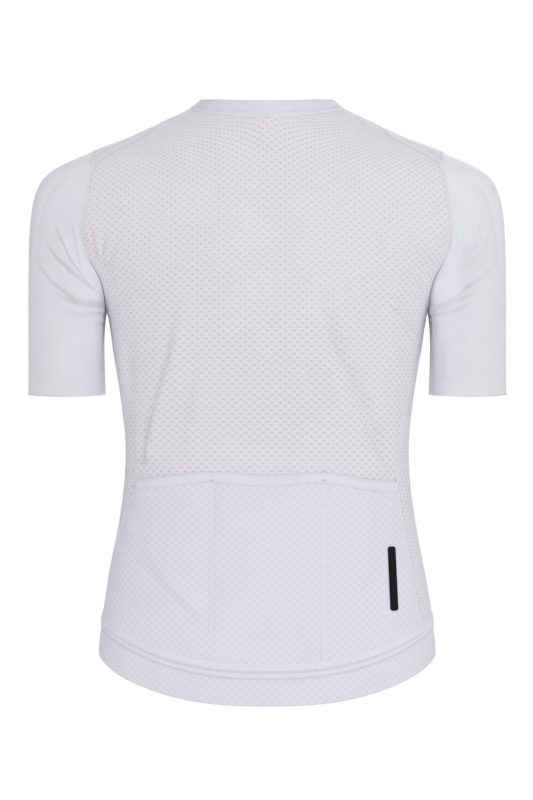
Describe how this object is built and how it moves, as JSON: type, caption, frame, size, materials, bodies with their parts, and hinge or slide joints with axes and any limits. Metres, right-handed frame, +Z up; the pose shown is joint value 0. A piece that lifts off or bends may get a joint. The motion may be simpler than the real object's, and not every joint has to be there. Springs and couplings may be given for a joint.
{
  "type": "short-sleeve cycling jersey",
  "caption": "White short-sleeve cycling jersey in its worn shape, with a mesh body, smooth sleeves, low collar, full front zip, rear pocket panel and reflective strip.",
  "frame": {"origin": "on the midline, level with the wearer's shoulders, halfway from chest to back", "axes": "+Z up the standing wearer, +Y out of the chest towards the zip, +X to the wearer's right, so the back faces -Y"},
  "size_m": [0.5254, 0.2219, 0.6554],
  "materials": {
    "mesh_cloth": "matt open-hole knit",
    "sleeve_cloth": "smooth, faint sheen",
    "collar_cloth": "smooth",
    "hem_band_cloth": "matt knit",
    "pocket_cloth": "matt open-hole knit",
    "pocket_binding_cloth": "smooth elastic",
    "reflective_black": "black heat-bonded film",
    "zip_tape_cloth": "woven tape",
    "zip_chain_nylon": "nylon coil",
    "zip_slider_paint": "white enamel",
    "pull_tab_paint": "white enamel"
  },
  "bodies": {
    "garment": {"back": "mesh_cloth", "front_left": "mesh_cloth", "front_right": "mesh_cloth", "sleeve_left": "sleeve_cloth", "sleeve_right": "sleeve_cloth", "collar": "collar_cloth", "hem_band": "hem_band_cloth", "pocket_panel": "pocket_cloth", "pocket_binding": "pocket_binding_cloth", "reflective_strip": "reflective_black", "zip_tape_left": "zip_tape_cloth", "zip_tape_right": "zip_tape_cloth", "zip_chain": "zip_chain_nylon", "zip_slider": "zip_slider_paint"},
    "pull_tab": {"pull_tab": "pull_tab_paint"}
  },
  "joints": [
    {"name": "pull_tab_swing", "type": "hinge", "parent": "garment", "child": "pull_tab", "pos_m": [0, 0.06029, -0.03612], "axis": [1, 0, 0], "range_deg": [0, 150]}
  ]
}
